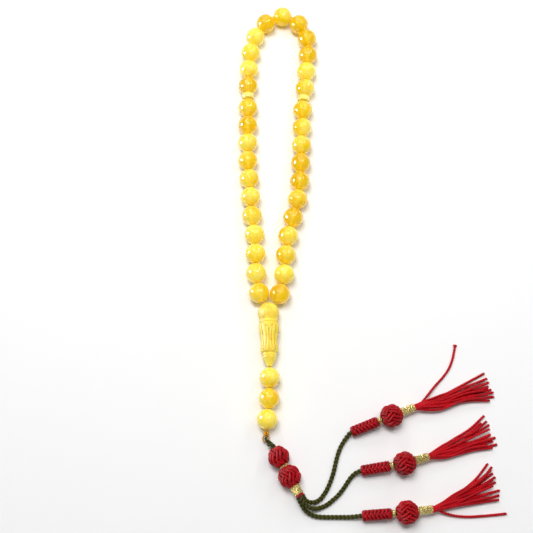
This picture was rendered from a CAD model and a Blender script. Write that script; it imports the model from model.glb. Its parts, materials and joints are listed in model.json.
"""Misbaha: a string of amber prayer beads with a carved head bead and three corded tassels.

Everything is in metres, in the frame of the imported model: +Z up from the table, +Y up along the loop.
Sizes are written in millimetres and multiplied by MM where they are used.
"""

import json
import logging
import math
import random
from dataclasses import dataclass
from enum import Enum

import bmesh
import bpy
from mathutils import Matrix, Vector


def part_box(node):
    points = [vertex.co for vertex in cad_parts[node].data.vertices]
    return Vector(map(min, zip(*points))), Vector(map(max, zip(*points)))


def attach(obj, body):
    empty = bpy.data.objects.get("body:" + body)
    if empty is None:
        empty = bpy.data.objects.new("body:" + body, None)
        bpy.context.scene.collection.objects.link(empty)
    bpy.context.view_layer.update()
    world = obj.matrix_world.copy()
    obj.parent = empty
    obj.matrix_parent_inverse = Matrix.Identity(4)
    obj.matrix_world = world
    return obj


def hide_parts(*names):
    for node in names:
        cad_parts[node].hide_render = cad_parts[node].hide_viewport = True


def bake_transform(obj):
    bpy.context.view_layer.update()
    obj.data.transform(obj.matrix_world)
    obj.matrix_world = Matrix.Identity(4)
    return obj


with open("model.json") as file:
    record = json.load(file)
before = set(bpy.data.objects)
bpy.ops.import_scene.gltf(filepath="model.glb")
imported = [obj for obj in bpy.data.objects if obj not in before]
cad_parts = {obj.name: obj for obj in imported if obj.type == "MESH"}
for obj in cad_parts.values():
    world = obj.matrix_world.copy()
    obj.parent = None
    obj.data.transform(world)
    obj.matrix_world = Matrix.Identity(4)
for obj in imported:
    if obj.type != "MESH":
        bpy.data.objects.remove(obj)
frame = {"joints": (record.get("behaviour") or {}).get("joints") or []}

MM = 0.001
FULL_TURN = 2 * math.pi
UP = Vector((0, 0, 1))
# Distance from a counting bead's centre to where the thread bends, in millimetres
BEAD_MOUTH = 5.15
# The beads' bodies, in the order in which the thread passes them
LOOP_BEADS = tuple(f"bead_{k:02d}" for k in range(1, 34))
TAIL_BEADS = tuple(f"tail_bead_{k}" for k in (1, 2, 3))
Number = float | int
Colour = tuple[float, float, float]
Line = list[Vector]

log = logging.getLogger("misbaha")


# ---------------------------------------------------------------- places read from the frame


def joint_place(name: str) -> tuple[Vector, Vector]:
    """Where a joint is.

    Args:
        name: The joint's name.

    Returns:
        The joint's position and the unit direction of its axis.
    """
    joint = next(j for j in frame["joints"] if j["name"] == name)
    return Vector(joint["pos_m"]), Vector(joint["axis"]).normalized()


def heading(degrees: Number, slope: Number = 0) -> Vector:
    """A direction in plan, counted anticlockwise from +X.

    Args:
        degrees: The heading.
        slope: How steeply it climbs, in degrees.

    Returns:
        A unit vector.
    """
    turn, climb = math.radians(degrees), math.radians(slope)
    return Vector((math.cos(climb) * math.cos(turn), math.cos(climb) * math.sin(turn), math.sin(climb)))


def at(x: Number, y: Number, z: Number) -> Vector:
    """A point given in millimetres."""
    return Vector((x, y, z)) * MM


def standing(origin: Vector, axis: Vector) -> Matrix:
    """A local frame whose Z is an axis and whose X points as far up from the table as it can.

    Args:
        origin: The frame's origin.
        axis: The direction of its Z.

    Returns:
        The frame as a matrix.
    """
    z = axis.normalized()
    x = (UP - z * UP.dot(z)).normalized()
    y = z.cross(x)
    turned = Matrix((x, y, z)).transposed().to_4x4()
    return Matrix.Translation(origin) @ turned


def smooth_line(points: Line, step: float) -> Line:
    """A smooth curve through points.

    Args:
        points: The points that the curve passes.
        step: The greatest distance between two points of the result.

    Returns:
        Points along the curve.
    """
    ends = [points[0] * 2 - points[1], *points, points[-1] * 2 - points[-2]]
    line = []
    for a, b, c, d in zip(ends, ends[1:], ends[2:], ends[3:]):
        steps = max(1, math.ceil((c - b).length / step))
        bend, twist = a * 2 - b * 5 + c * 4 - d, b * 3 - a - c * 3 + d
        for k in range(steps):
            t = k / steps
            line.append((b * 2 + (c - a) * t + bend * t**2 + twist * t**3) / 2)
    return [*line, points[-1].copy()]


# ---------------------------------------------------------------- node trees


class Nodes:
    """Adds nodes to a shader or geometry tree."""

    def __init__(self, tree: bpy.types.NodeTree) -> None:
        """Keeps the tree that the nodes go into."""
        self.tree = tree

    def add(self, kind: str, settings: dict | None = None, sockets: dict | None = None) -> bpy.types.Node:
        """Adds one node.

        Args:
            kind: The node's type.
            settings: Its properties, which are set first.
            sockets: Values or links for its input sockets, by name or number.

        Returns:
            The node.
        """
        node = self.tree.nodes.new(kind)
        for name, value in (settings or {}).items():
            setattr(node, name, value)
        for key, value in (sockets or {}).items():
            self.feed(node.inputs[key], value)
        return node
    def out(
        self, kind: str, settings: dict | None = None, sockets: dict | None = None
    ) -> bpy.types.NodeSocket:
        """Adds one node and gives its first output."""
        return self.add(kind, settings, sockets).outputs[0]
    def feed(self, socket: bpy.types.NodeSocket, value: object) -> None:
        """Links a socket or sets its value.

        Args:
            socket: The input socket.
            value: A Value, another socket, a number, a colour, a vector or a material.
        """
        source = value.socket if isinstance(value, Value) else value
        if isinstance(source, bpy.types.NodeSocket):
            self.tree.links.new(source, socket)
        elif socket.type == "RGBA" and len(source) == 3:
            socket.default_value = (*source, 1)
        else:
            socket.default_value = source

    def value(self, socket: bpy.types.NodeSocket) -> "Value":
        """Wraps a socket for arithmetic."""
        return Value(self, socket)

    def vector(self, operation: str, *parts: object) -> bpy.types.NodeSocket:
        """Vector arithmetic.

        Args:
            operation: The Vector Math node's operation.
            parts: Its inputs; after SCALE's vector comes a number.

        Returns:
            The vector, or the number for DOT_PRODUCT, LENGTH and DISTANCE.
        """
        keys = [0, 3] if operation == "SCALE" else range(len(parts))
        node = self.add("ShaderNodeVectorMath", {"operation": operation}, dict(zip(keys, parts)))
        return node.outputs["Value" if operation in ("DOT_PRODUCT", "LENGTH", "DISTANCE") else "Vector"]

    def mix(self, share: object, low: object, high: object) -> bpy.types.NodeSocket:
        """One colour where share is 0 and another where it is 1.

        Args:
            share: The mix, from 0 to 1.
            low: The first colour.
            high: The second colour.

        Returns:
            The mixed colour.
        """
        node = self.add(
            "ShaderNodeMix", {"data_type": "RGBA", "clamp_factor": True}, {0: share, 6: low, 7: high}
        )
        return node.outputs[2]

    def noise(self, where: object, scale: float, detail: float = 2, seed: float = 0) -> "Value":
        """Soft noise, about 0.5 on average.

        Args:
            where: The coordinates.
            scale: How fine it is.
            detail: How many finer layers are added.
            seed: Chooses another part of the noise.

        Returns:
            The noise.
        """
        sockets = {
            "Vector": where, "W": seed, "Scale": scale, "Detail": detail, "Roughness": 0.55,
            "Distortion": 0.3,
        }
        return self.value(self.out("ShaderNodeTexNoise", {"noise_dimensions": "4D"}, sockets))


class Value:
    """A number that changes over a surface: a socket with arithmetic."""

    def __init__(self, nodes: Nodes, socket: bpy.types.NodeSocket) -> None:
        """Keeps the socket and where its Math nodes go."""
        self.nodes, self.socket = nodes, socket

    def maths(self, operation: str, *parts: object) -> "Value":
        """Adds a Math node.

        Args:
            operation: The node's operation.
            parts: Its inputs.

        Returns:
            The result.
        """
        node = self.nodes.add("ShaderNodeMath", {"operation": operation}, dict(enumerate(parts)))
        return Value(self.nodes, node.outputs[0])

    def __add__(self, other: object) -> "Value":
        """This plus other."""
        return self.maths("ADD", self, other)

    def __radd__(self, other: object) -> "Value":
        """Other plus this."""
        return self.maths("ADD", other, self)

    def __sub__(self, other: object) -> "Value":
        """This minus other."""
        return self.maths("SUBTRACT", self, other)

    def __rsub__(self, other: object) -> "Value":
        """Other minus this."""
        return self.maths("SUBTRACT", other, self)

    def __mul__(self, other: object) -> "Value":
        """This times other."""
        return self.maths("MULTIPLY", self, other)

    def __rmul__(self, other: object) -> "Value":
        """Other times this."""
        return self.maths("MULTIPLY", other, self)

    def __truediv__(self, other: object) -> "Value":
        """This divided by other."""
        return self.maths("DIVIDE", self, other)

    def sin(self) -> "Value":
        """The sine of this angle in radians."""
        return self.maths("SINE", self)

    def cos(self) -> "Value":
        """The cosine of this angle in radians."""
        return self.maths("COSINE", self)

    def size(self) -> "Value":
        """This without its sign."""
        return self.maths("ABSOLUTE", self)

    def ramp(self, low: object, high: object) -> "Value":
        """A smooth step.

        Args:
            low: Where the step starts from 0.
            high: Where it reaches 1.

        Returns:
            The step.
        """
        node = self.nodes.add(
            "ShaderNodeMapRange",
            {"interpolation_type": "SMOOTHSTEP"},
            {"Value": self, "From Min": low, "From Max": high},
        )
        return Value(self.nodes, node.outputs["Result"])


class Shader(Nodes):
    """A material's tree, with its Principled node and the piece's own coordinates."""

    def __init__(self, name: str) -> None:
        """Makes a material with a Principled node and nothing on it.

        Args:
            name: The material's name.
        """
        self.material = bpy.data.materials.new(name)
        self.material.use_nodes = True
        super().__init__(self.material.node_tree)
        self.tree.nodes.clear()
        self.surface = self.add("ShaderNodeBsdfPrincipled")
        self.add("ShaderNodeOutputMaterial", None, {"Surface": self.surface.outputs[0]})
        self.place = self.add("ShaderNodeTexCoord").outputs["Object"]

    def local(self, centre: Vector, size: float) -> bpy.types.NodeSocket:
        """The piece's coordinates, counted from a centre.

        Args:
            centre: What becomes 0.
            size: The distance that becomes 1.

        Returns:
            The coordinates.
        """
        sockets = {"Vector": self.place, "Location": centre, "Scale": (size, size, size)}
        return self.add("ShaderNodeMapping", {"vector_type": "TEXTURE"}, sockets).outputs[0]

    def attribute(self, name: str, output: str = "Fac") -> bpy.types.NodeSocket:
        """A value that the piece's mesh carries."""
        return self.add("ShaderNodeAttribute", {"attribute_name": name}).outputs[output]

    def bump(self, height: object, depth: float, strength: float = 1) -> None:
        """Presses a pattern into the surface.

        Args:
            height: The pattern.
            depth: How deep it is, in metres.
            strength: Its share.
        """
        sockets = {"Height": height, "Distance": depth, "Strength": strength}
        self.feed(self.surface.inputs["Normal"], self.add("ShaderNodeBump", None, sockets).outputs[0])

    def set(self, **sockets: object) -> None:
        """Sets or links the Principled node's sockets; an underscore in a name stands for a space."""
        for name, value in sockets.items():
            self.feed(self.surface.inputs[name.replace("_", " ")], value)


# ---------------------------------------------------------------- finishes


@dataclass(frozen=True)
class Milk:
    """How milky a bead is.

    Attributes:
        amount: 0 is all clear and 1 is all milky.
        edge: How softly milky parts pass into clear ones.
        depth: How deep the clear part's gold is, from 0 to 1.
        clearness: How much light passes straight through.
    """

    amount: float
    edge: float
    depth: float
    clearness: float


class Look(Enum):
    """The kinds of amber on the string."""

    CLEAR = Milk(0.16, 0.75, 0.85, 0.4)
    GOLDEN = Milk(0.36, 0.8, 0.55, 0.25)
    HALF = Milk(0.5, 0.45, 0.6, 0.15)
    MILKY = Milk(0.72, 0.8, 0.35, 0.05)
    PALE = Milk(0.9, 0.7, 0.3, 0.0)


@dataclass(frozen=True)
class Amber:
    """Polished natural amber, part clear and part milky.

    Attributes:
        look: Its kind.
        milky_side: Heading of the side where most of the milk is.
        seed: Chooses the clouds.
    """

    look: Look
    milky_side: float
    seed: float

    deep: Colour = (0.8, 0.45, 0.001)
    gold: Colour = (0.93, 0.69, 0.001)
    butter: Colour = (0.98, 0.73, 0.04)
    cream: Colour = (0.99, 0.83, 0.19)
    thread_glow: Colour = (1.0, 0.82, 0.15)
    veil: Colour = (0.6, 0.24, 0.001)

    def material(self, name: str, centre: Vector, radius: float, axis: Vector) -> bpy.types.Material:
        """Makes the finish for one bead.

        Args:
            name: The material's name.
            centre: The bead's centre.
            radius: The bead's radius.
            axis: The direction of its hole.

        Returns:
            The material.
        """
        milk = self.look.value
        s = Shader(name)
        p = s.local(centre, radius)
        clouds = s.noise(p, 0.9, 3, self.seed)
        wisps = s.noise(p, 2.6, 4, self.seed + 7)
        side = s.value(s.vector("DOT_PRODUCT", p, heading(self.milky_side, 25)))
        level = side * 0.62 + (clouds - 0.5) * 2.3 + (wisps - 0.5) * 0.8 + (milk.amount - 0.5) * 2.2
        milky = level.ramp(-milk.edge, milk.edge)
        tone = s.noise(p, 1.5, 2, self.seed + 3).ramp(0.35, 0.7)
        lit = s.value(s.vector("DOT_PRODUCT", p, heading(280))).ramp(-0.9, 0.7)
        clear = s.mix((1 - lit) * milk.depth + (1 - tone) * 0.3, self.gold, self.deep)
        pale = s.mix(s.noise(p, 1.8, 3, self.seed + 11).ramp(0.3, 0.68) * 0.8, self.butter, self.cream)
        across = axis.cross(UP).normalized()
        beside_hole = s.value(s.vector("DOT_PRODUCT", p, across)).size()
        glow = (1 - beside_hole.ramp(0.03, 0.2)) * (1 - milky) * 0.55
        body = s.mix(glow, s.mix(milky, clear, pale), self.thread_glow)
        crack = (s.noise(p, 1.3, 2, self.seed + 19) - 0.5).size()
        veiled = (1 - crack.ramp(0.0, 0.012)) * wisps.ramp(0.5, 0.62) * 0.45
        s.set(
            Base_Color=s.mix(veiled, body, self.veil),
            Roughness=0.04 + wisps * 0.05,
            Specular_IOR_Level=0.4,
            IOR=1.54,
            Subsurface_Weight=0.55,
            Subsurface_Radius=(1.0, 0.5, 0.08),
            Subsurface_Scale=0.0022,
            Transmission_Weight=milk.clearness,
            Coat_Weight=0.4,
            Coat_Roughness=0.02,
            Emission_Color=s.mix(milky, self.gold, self.butter),
            Emission_Strength=0.14,
        )
        s.bump(s.noise(p, 4, 1, self.seed), 0.01 * MM, 0.3)
        return s.material


@dataclass(frozen=True)
class CarvedAmber:
    """Milky amber, carved and rubbed to a satin polish, with darker cuts."""

    butter: Colour = (0.93, 0.67, 0.055)
    cream: Colour = (0.98, 0.81, 0.11)
    ochre: Colour = (0.54, 0.24, 0.006)
    crack: Colour = (0.33, 0.13, 0.01)

    def material(self, name: str, centre: Vector, size: float) -> bpy.types.Material:
        """Makes the finish.

        Args:
            name: The material's name.
            centre: Where the pattern is counted from.
            size: The distance that counts as 1.

        Returns:
            The material.
        """
        s = Shader(name)
        p = s.local(centre, size)
        clouds = s.noise(p, 1.4, 4, 2)
        grain = s.noise(p, 9, 3, 5)
        cut = s.value(s.attribute("cut"))
        mark = s.value(s.attribute("mark"))
        body = s.mix(clouds.ramp(0.36, 0.66), self.butter, self.cream)
        worn = s.mix(cut.ramp(0.05, 0.95) * 0.85, body, self.ochre)
        s.set(
            Base_Color=s.mix(mark, worn, self.crack),
            Roughness=0.42 + grain * 0.12 + cut * 0.2,
            IOR=1.54,
            Subsurface_Weight=0.45,
            Subsurface_Radius=(1.0, 0.55, 0.12),
            Subsurface_Scale=0.0014,
            Coat_Weight=0.05,
            Coat_Roughness=0.2,
            Emission_Color=body,
            Emission_Strength=0.07,
        )
        s.bump(grain + clouds * 0.5, 0.06 * MM, 0.6)
        return s.material


@dataclass(frozen=True)
class DiscAmber:
    """Pale milky amber, polished, faintly clouded."""

    cream: Colour = (0.97, 0.83, 0.16)
    ivory: Colour = (0.99, 0.91, 0.3)

    def material(self, name: str, centre: Vector, radius: float) -> bpy.types.Material:
        """Makes the finish for one disc.

        Args:
            name: The material's name.
            centre: The disc's centre.
            radius: The disc's radius.

        Returns:
            The material.
        """
        s = Shader(name)
        p = s.local(centre, radius)
        clouds = s.noise(p, 1.7, 3, centre.x * 900)
        s.set(
            Base_Color=s.mix(clouds.ramp(0.35, 0.65), self.cream, self.ivory),
            Roughness=0.16 + clouds * 0.1,
            IOR=1.54,
            Subsurface_Weight=0.5,
            Subsurface_Radius=(1.0, 0.6, 0.2),
            Subsurface_Scale=0.0015,
            Coat_Weight=0.4,
            Coat_Roughness=0.05,
        )
        s.bump(clouds, 0.02 * MM, 0.4)
        return s.material


@dataclass(frozen=True)
class Yarn:
    """Spun cord: fine fibres that wind round it, dark where it dips under.

    Attributes:
        name: The material's name.
        light: Colour of its raised fibres.
        dark: Colour between its fibres.
        gap: Colour deep between two cords.
        gap_from: How deep the gaps start, as a share of the cord's reach.
        gap_to: Where the full colour begins.
        spin: Length along the cord of one turn of its fibres, in millimetres.
        roughness: Its roughness.
        sheen: Its sheen.
        shine: How metallic its fibres are.
    """

    name: str
    light: Colour
    dark: Colour
    gap: Colour
    gap_from: float = 0.5
    gap_to: float = 0.95
    spin: float = 0.8
    roughness: float = 0.55
    sheen: float = 0.3
    shine: float = 0.0

    def material(self) -> bpy.types.Material:
        """Makes the finish, once for all pieces of this yarn.

        Returns:
            The material.
        """
        known = bpy.data.materials.get(self.name)
        if known:
            return known
        s = Shader(self.name)
        along = s.value(s.attribute("along")) * (FULL_TURN / (self.spin * MM))
        around = s.attribute("around", "Vector")
        xyz = s.add("ShaderNodeSeparateXYZ", None, {0: around})
        cosine, sine = s.value(xyz.outputs[0]), s.value(xyz.outputs[1])
        coarse = (along.sin() * cosine + along.cos() * sine) * 0.5 + 0.5
        twice = along * 3
        fine = (twice.sin() * cosine + twice.cos() * sine) * 0.5 + 0.5
        fuzz = s.noise(s.place, 900, 3, 1)
        patch = s.noise(s.place, 160, 2, 4)
        fibres = coarse * 0.45 + fine * 0.3 + fuzz * 0.35
        colour = s.mix((fibres * 0.7 + patch * 0.45).ramp(0.2, 0.85), self.dark, self.light)
        open_share = s.value(s.attribute("outness")).ramp(self.gap_from, self.gap_to)
        s.set(
            Base_Color=s.mix(open_share, self.gap, colour),
            Roughness=self.roughness + fuzz * 0.25 - fibres * 0.15,
            Sheen_Weight=self.sheen,
            Sheen_Roughness=0.4,
            Specular_IOR_Level=0.22,
        )
        if self.shine:
            s.set(Metallic=fibres * 0.3 + self.shine)
        s.bump(fibres, 0.14 * MM, 0.8)
        return s.material


CRIMSON = Yarn(
    "crimson silk cord", light=(0.58, 0.002, 0.009), dark=(0.1, 0.0, 0.002), gap=(0.005, 0.0, 0.0),
    gap_from=0.76, gap_to=0.96, spin=0.9, roughness=0.42, sheen=0.0,
)
BRAID = Yarn(
    "crimson braid cord", light=(0.54, 0.002, 0.009), dark=(0.08, 0.0, 0.002), gap=(0.002, 0.0, 0.0),
    gap_from=0.66, gap_to=0.97, spin=0.9, roughness=0.42, sheen=0.0,
)
STRAND = Yarn(
    "waxed crimson strand", light=(0.66, 0.002, 0.01), dark=(0.17, 0.0, 0.003), gap=(0.02, 0.0, 0.001),
    gap_from=0.45, gap_to=0.92, spin=0.7, roughness=0.4, sheen=0.0,
)
OLIVE = Yarn(
    "olive silk cord", light=(0.085, 0.086, 0.01), dark=(0.02, 0.02, 0.003), gap=(0.0, 0.0, 0.0),
    gap_from=0.62, gap_to=0.96, spin=0.7, roughness=0.6, sheen=0.0,
)
YELLOW = Yarn(
    "waxed yellow thread", light=(0.9, 0.6, 0.06), dark=(0.6, 0.33, 0.02), gap=(0.2, 0.1, 0.005),
    gap_from=0.3, gap_to=0.9, spin=0.5, roughness=0.5, sheen=0.1,
)
ORANGE = Yarn(
    "orange gold thread", light=(0.9, 0.42, 0.015), dark=(0.5, 0.17, 0.004), gap=(0.1, 0.03, 0.0),
    gap_from=0.5, gap_to=0.95, spin=0.5, roughness=0.4, sheen=0.1,
)
GOLD = Yarn(
    "wound gold thread", light=(1.0, 0.87, 0.38), dark=(0.4, 0.27, 0.04), gap=(0.04, 0.02, 0.002),
    gap_from=0.78, gap_to=0.98, spin=0.5, roughness=0.2, sheen=0.0, shine=0.6,
)


# ---------------------------------------------------------------- geometry trees


class Grower(Nodes):
    """A geometry tree with named inputs that turns lines or nothing into a finished mesh."""

    def __init__(self, name: str, inputs: dict[str, Number | tuple]) -> None:
        """Makes the tree and its inputs.

        Args:
            name: The tree's name.
            inputs: Each input's name and first value, whose type is the input's.
        """
        kinds = {int: "NodeSocketInt", float: "NodeSocketFloat", tuple: "NodeSocketVector"}
        tree = bpy.data.node_groups.new(name, "GeometryNodeTree")
        super().__init__(tree)
        face = tree.interface
        face.new_socket("Geometry", in_out="OUTPUT", socket_type="NodeSocketGeometry")
        face.new_socket("Geometry", in_out="INPUT", socket_type="NodeSocketGeometry")
        for label, first in inputs.items():
            face.new_socket(label, in_out="INPUT", socket_type=kinds[type(first)]).default_value = first
        face.new_socket("Material", in_out="INPUT", socket_type="NodeSocketMaterial")
        self.given = self.add("NodeGroupInput").outputs

    def close(self, shape: bpy.types.NodeSocket) -> None:
        """Ends the tree: smooth, real and dressed.

        Args:
            shape: The geometry so far.
        """
        soft = self.out("GeometryNodeSetShadeSmooth", None, {0: shape})
        real = self.out("GeometryNodeRealizeInstances", None, {0: soft})
        sockets = {"Geometry": real, "Material": self.given["Material"]}
        self.add("NodeGroupOutput", None, {0: self.out("GeometryNodeSetMaterial", None, sockets)})

    def even_line(self) -> bpy.types.NodeSocket:
        """The given lines, with their points one step apart."""
        sockets = {"Curve": self.given["Geometry"], "Length": self.given["Step"]}
        return self.out("GeometryNodeResampleCurve", {"mode": "LENGTH"}, sockets)

    def distance(self) -> bpy.types.NodeSocket:
        """How far along its line a point is."""
        return self.add("GeometryNodeSplineParameter").outputs["Length"]

    def copies(self, shape: object, amount: object) -> bpy.types.Node:
        """The node that copies every line; its outputs hold the lines and each copy's number."""
        sockets = {"Geometry": shape, "Amount": amount}
        return self.add("GeometryNodeDuplicateElements", {"domain": "SPLINE"}, sockets)

    def move(self, shape: object, offset: object) -> bpy.types.NodeSocket:
        """The geometry with its points moved by an offset."""
        return self.out("GeometryNodeSetPosition", None, {"Geometry": shape, "Offset": offset})

    def sweep(self, curve: object, profile: object, capped: bool = True) -> bpy.types.NodeSocket:
        """The skin that a profile leaves as it runs along a curve."""
        sockets = {"Curve": curve, "Profile Curve": profile, "Fill Caps": capped}
        return self.out("GeometryNodeCurveToMesh", None, sockets)

    def store(self, shape: object, name: str, value: object, kind: str = "FLOAT") -> bpy.types.NodeSocket:
        """Keeps a value on each point.

        Args:
            shape: The geometry.
            name: The attribute's name.
            value: What it holds.
            kind: Its data type.

        Returns:
            The geometry with the attribute.
        """
        sockets = {"Geometry": shape, "Name": name, "Value": value}
        return self.out("GeometryNodeStoreNamedAttribute", {"data_type": kind, "domain": "POINT"}, sockets)

    def section(self, sides: object, radius: object) -> bpy.types.NodeSocket:
        """A round section that remembers which way each of its points faces.

        Args:
            sides: How many points it has.
            radius: Its radius.

        Returns:
            The section's curve.
        """
        circle = self.out("GeometryNodeCurvePrimitiveCircle", None, {"Resolution": sides, "Radius": radius})
        faces = self.vector("NORMALIZE", self.out("GeometryNodeInputPosition"))
        return self.store(circle, "around", faces, "FLOAT_VECTOR")

    def grow(
        self, name: str, lines: list[Line], finish: bpy.types.Material, closed: bool = False, **inputs: object
    ) -> bpy.types.Object:
        """Makes one plain mesh with this tree.

        Args:
            name: The piece's name.
            lines: The lines that it follows, or none.
            finish: Its material.
            closed: Whether each line closes on itself.
            inputs: Values for the named inputs; an underscore stands for a space.

        Returns:
            The piece, at the origin.
        """
        if lines:
            data = bpy.data.curves.new(name + " line", "CURVE")
            data.dimensions = "3D"
            for line in lines:
                spline = data.splines.new("POLY")
                spline.points.add(len(line) - 1)
                spline.points.foreach_set("co", [x for p in line for x in (*p, 1)])
                spline.use_cyclic_u = closed
        else:
            data = bpy.data.meshes.new(name + " start")
        source = bpy.data.objects.new(name + " source", data)
        bpy.context.scene.collection.objects.link(source)
        modifier = source.modifiers.new("grow", "NODES")
        modifier.node_group = self.tree
        items = self.tree.interface.items_tree
        known = {item.name: item.identifier for item in items if item.in_out == "INPUT"}
        for label, value in {**inputs, "Material": finish}.items():
            modifier[known[label.replace("_", " ")]] = value
        depsgraph = bpy.context.evaluated_depsgraph_get()
        mesh = bpy.data.meshes.new_from_object(source.evaluated_get(depsgraph), depsgraph=depsgraph)
        mesh.name = name
        bpy.data.objects.remove(source)
        piece = bpy.data.objects.new(name, mesh)
        bpy.context.scene.collection.objects.link(piece)
        return piece


def laid_plies() -> Grower:
    """A tree that lays plies round each other along every line.

    Returns:
        The tree.
    """
    g = Grower(
        "laid plies",
        {"Plies": 3, "Ply radius": 0.4 * MM, "Offset": 0.5 * MM, "Lay": 4 * MM, "Step": 0.4 * MM, "Sides": 8},
    )
    given = g.given
    middle = g.store(g.even_line(), "middle", g.out("GeometryNodeInputPosition"), "FLOAT_VECTOR")
    copies = g.copies(middle, given["Plies"])
    along = g.value(g.distance())
    marked = g.store(copies.outputs[0], "along", along)
    share = g.value(copies.outputs["Duplicate Index"]) / given["Plies"]
    turn = (along / given["Lay"] + share) * FULL_TURN
    normal = g.out("GeometryNodeInputNormal")
    across = g.vector("CROSS_PRODUCT", g.out("GeometryNodeInputTangent"), normal)
    step_out = g.vector(
        "ADD", g.vector("SCALE", normal, turn.cos()), g.vector("SCALE", across, turn.sin())
    )
    moved = g.move(marked, g.vector("SCALE", step_out, given["Offset"]))
    skin = g.sweep(moved, g.section(given["Sides"], given["Ply radius"]))
    kept = g.out("GeometryNodeInputNamedAttribute", {"data_type": "FLOAT_VECTOR"}, {"Name": "middle"})
    off = g.value(g.vector("DISTANCE", g.out("GeometryNodeInputPosition"), kept))
    reach = g.value(given["Offset"]) + given["Ply radius"]
    g.close(g.store(skin, "outness", off / reach))
    return g


def flat_cord() -> Grower:
    """A tree that lays flattened cords side by side on a ball, over a dark core.

    Returns:
        The tree.
    """
    inputs = {
        "Centre": (0.0, 0.0, 0.0), "Width": 2 * MM, "Height": MM, "Step": 0.4 * MM, "Sides": 10,
        "Core radius": 3 * MM, "Reach": 5 * MM, "Cords": 2, "Spacing": 1.4 * MM,
    }
    g = Grower("flat cord on a ball", inputs)
    given = g.given
    place = g.out("GeometryNodeInputPosition")
    out = g.vector("NORMALIZE", g.vector("SUBTRACT", place, given["Centre"]))
    copies = g.copies(g.store(g.even_line(), "along", g.distance()), given["Cords"])
    across = g.vector("CROSS_PRODUCT", out, g.out("GeometryNodeInputTangent"))
    step = g.value(copies.outputs["Duplicate Index"]) - (g.value(given["Cords"]) - 1) / 2
    aside = g.vector("SCALE", g.vector("NORMALIZE", across), step * given["Spacing"])
    sockets = {"Curve": g.move(copies.outputs[0], aside), "Normal": out}
    facing_out = g.out("GeometryNodeSetCurveNormal", {"mode": "FREE"}, sockets)
    scale = g.out("ShaderNodeCombineXYZ", None, {0: given["Width"], 1: given["Height"], 2: 1.0})
    flat = g.out("GeometryNodeTransform", None, {"Geometry": g.section(given["Sides"], 0.5), "Scale": scale})
    sockets = {"Segments": 32, "Rings": 20, "Radius": given["Core radius"]}
    core = g.out("GeometryNodeMeshUVSphere", None, sockets)
    placed = g.out("GeometryNodeTransform", None, {"Geometry": core, "Translation": given["Centre"]})
    both = g.add("GeometryNodeJoinGeometry")
    for shape in (g.sweep(facing_out, flat), placed):
        g.tree.links.new(shape, both.inputs[0])
    off = g.value(g.vector("DISTANCE", place, given["Centre"]))
    g.close(g.store(both.outputs[0], "outness", off / given["Reach"]))
    return g


def wound_rings() -> Grower:
    """A tree that winds rings of thread side by side round an axis, each a little askew.

    Returns:
        The tree.
    """
    inputs = {
        "Rings": 10, "Pitch": 0.4 * MM, "Radius": 1.7 * MM, "Thread": 0.25 * MM, "Askew": 0.05,
        "Place": (0.0, 0.0, 0.0), "Turn": (0.0, 0.0, 0.0), "Seed": 1,
    }
    g = Grower("wound rings", inputs)
    given = g.given
    pitch, askew = g.value(given["Pitch"]), g.value(given["Askew"])
    rise = g.out("ShaderNodeCombineXYZ", None, {2: pitch})
    first = g.out("ShaderNodeCombineXYZ", None, {2: pitch * 0.5})
    sockets = {"Count": given["Rings"], "Start Location": first, "Offset": rise}
    points = g.out("GeometryNodeMeshLine", None, sockets)
    loop = g.out("GeometryNodeCurvePrimitiveCircle", None, {"Resolution": 36, "Radius": given["Radius"]})
    ring = g.sweep(g.store(loop, "along", g.distance()), g.section(6, given["Thread"]), False)
    least, most = (
        g.out("ShaderNodeCombineXYZ", None, {0: askew * k, 1: askew * k, 2: 3.0 * k}) for k in (-1, 1)
    )
    sockets = {"Min": least, "Max": most, "Seed": given["Seed"]}
    tilt = g.out("FunctionNodeRandomValue", {"data_type": "FLOAT_VECTOR"}, sockets)
    sockets = {"Points": points, "Instance": ring, "Rotation": tilt}
    rows = g.out("GeometryNodeInstanceOnPoints", None, sockets)
    real = g.out("GeometryNodeRealizeInstances", None, {0: rows})
    place = g.add("ShaderNodeSeparateXYZ", None, {0: g.out("GeometryNodeInputPosition")})
    x, y = g.value(place.outputs[0]), g.value(place.outputs[1])
    off = (x * x + y * y).maths("SQRT", x * x + y * y)
    told = g.store(real, "outness", off / (g.value(given["Radius"]) + given["Thread"]))
    sockets = {"Geometry": told, "Translation": given["Place"], "Rotation": given["Turn"]}
    g.close(g.out("GeometryNodeTransform", None, sockets))
    return g


@dataclass(frozen=True)
class Trees:
    """The three geometry trees: cord on a ball, laid plies and wound rings."""

    ball: Grower
    plies: Grower
    rings: Grower


@dataclass(frozen=True)
class Lay:
    """How a cord is laid, in millimetres.

    Attributes:
        plies: How many plies it has.
        ply_r: A ply's radius.
        offset: Distance from the cord's middle to a ply's middle.
        lay: Length in which a ply goes once round.
        step: Distance between two rings of points.
        sides: How many sides a ply has.
    """

    plies: int
    ply_r: float
    offset: float = 0.0
    lay: float = 1.0
    step: float = 0.3
    sides: int = 6

    def grow(
        self, trees: Trees, name: str, lines: list[Line], yarn: Yarn, closed: bool = False
    ) -> bpy.types.Object:
        """Makes a piece of this cord.

        Args:
            trees: The geometry trees.
            name: The piece's name.
            lines: The lines that it follows.
            yarn: What it is spun from.
            closed: Whether each line closes on itself.

        Returns:
            The piece.
        """
        return trees.plies.grow(
            name, lines, yarn.material(), closed, Plies=self.plies, Ply_radius=self.ply_r * MM,
            Offset=self.offset * MM, Lay=self.lay * MM, Step=self.step * MM, Sides=self.sides,
        )


# ---------------------------------------------------------------- mesh helpers


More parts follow.
